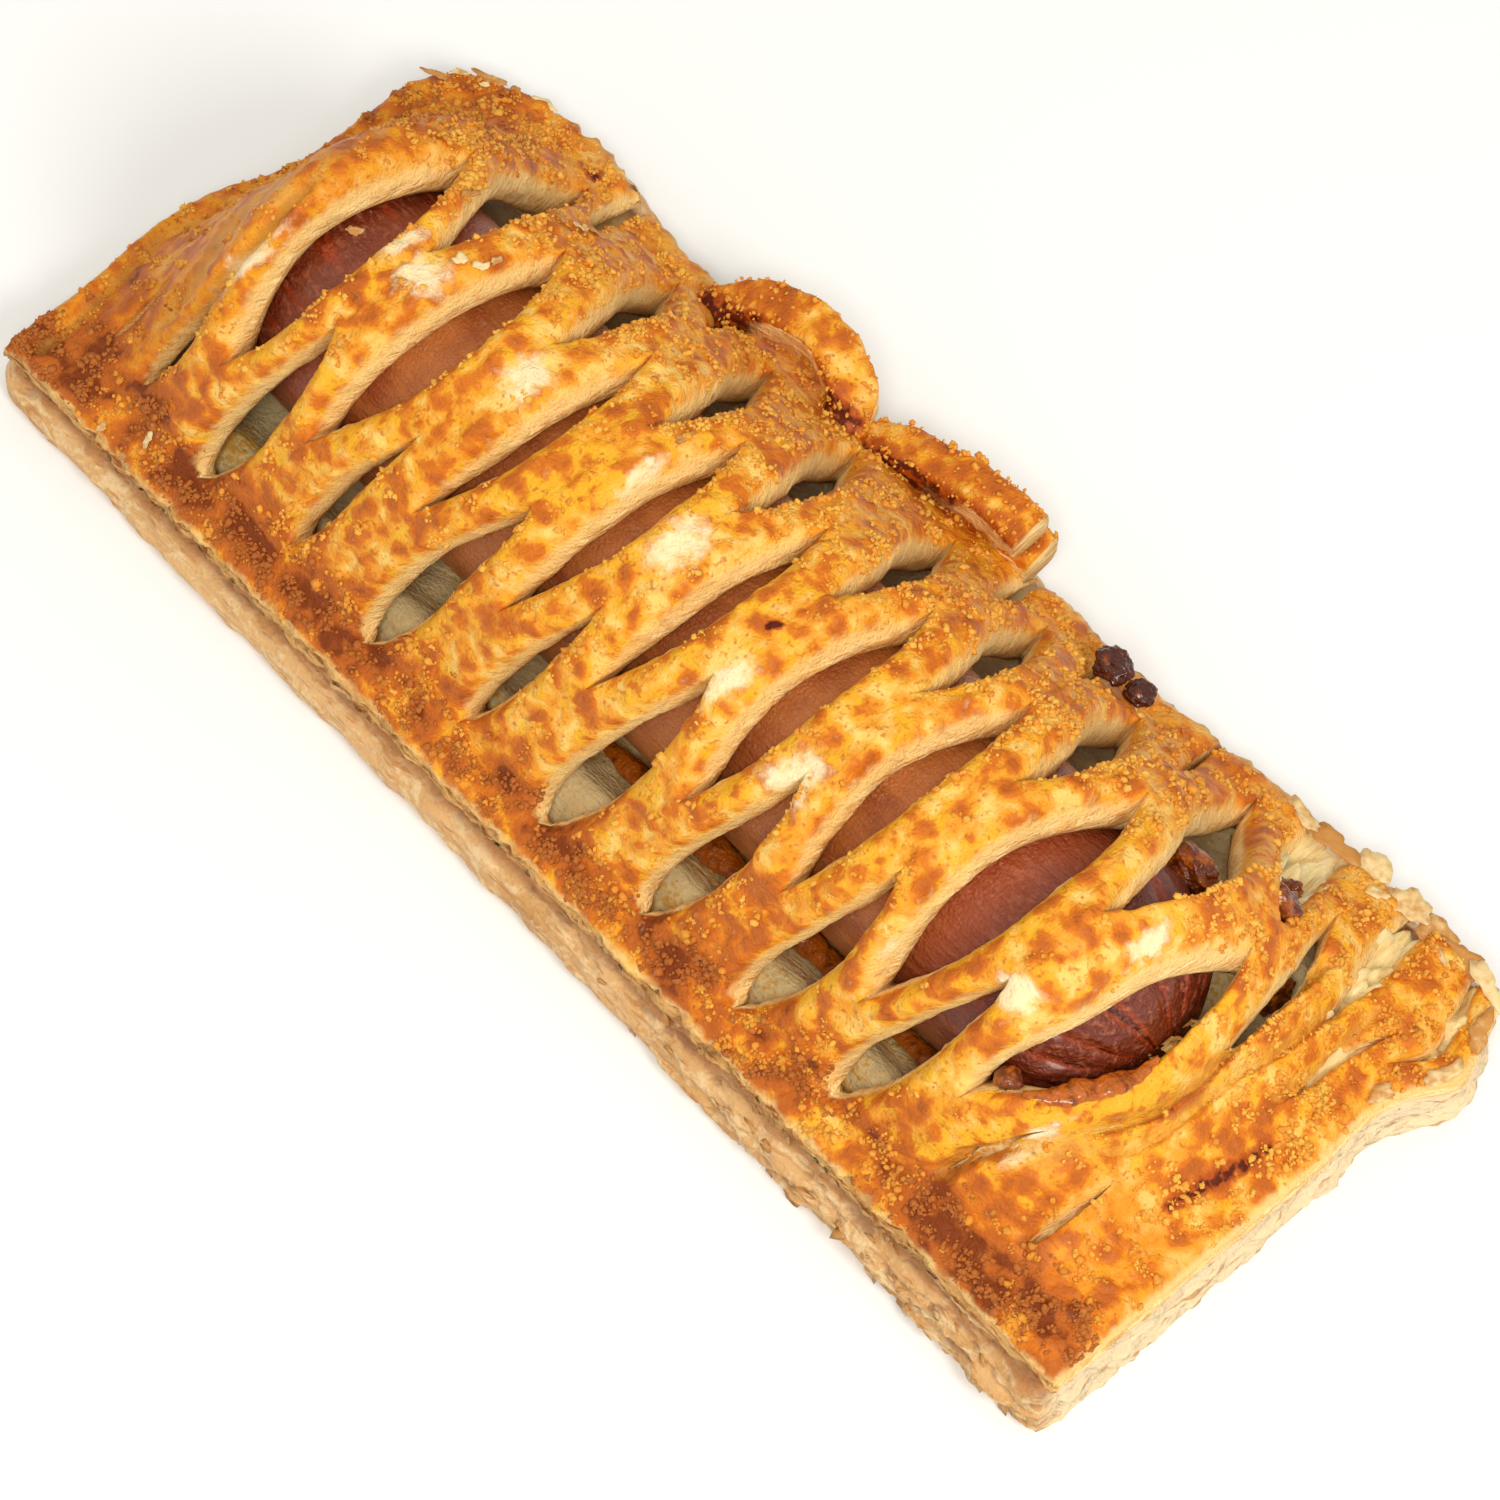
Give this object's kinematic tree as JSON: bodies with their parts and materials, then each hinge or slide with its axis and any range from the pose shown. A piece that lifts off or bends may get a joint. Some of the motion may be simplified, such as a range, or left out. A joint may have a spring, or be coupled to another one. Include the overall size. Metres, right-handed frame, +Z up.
{
  "type": "sausage in puff pastry",
  "caption": "Whole smoked sausage baked on a rectangular puff-pastry base under a slashed lattice sheet sealed at the rim, with tomato relish between.",
  "frame": {"origin": "under the middle of the slice's box, on the surface that it rests on", "axes": "+X along the sausage towards the end nearer the viewer, -Y towards the long side nearer the viewer, +Z up"},
  "size_m": [0.167, 0.0684, 0.04],
  "materials": {
    "baked_crust": "golden baked puff pastry with dry yellow crumbs, satin where glazed, pale at the cut sides",
    "base_dough": "dry tan puff pastry with flaky layers and a pale underside",
    "smoked_casing": "glossy thin casing over salmon-brown meat, darker at the ends",
    "tomato_relish": "wet dark red-brown relish"
  },
  "bodies": {
    "root": {"base_pastry": "base_dough", "lattice_top": "baked_crust", "sausage": "smoked_casing", "relish_bead": "tomato_relish", "relish_tip": "tomato_relish", "relish_shoulder": "tomato_relish", "relish_back": "tomato_relish", "relish_band": "tomato_relish", "relish_spot_large": "tomato_relish", "relish_spot_small": "tomato_relish"}
  },
  "joints": []
}
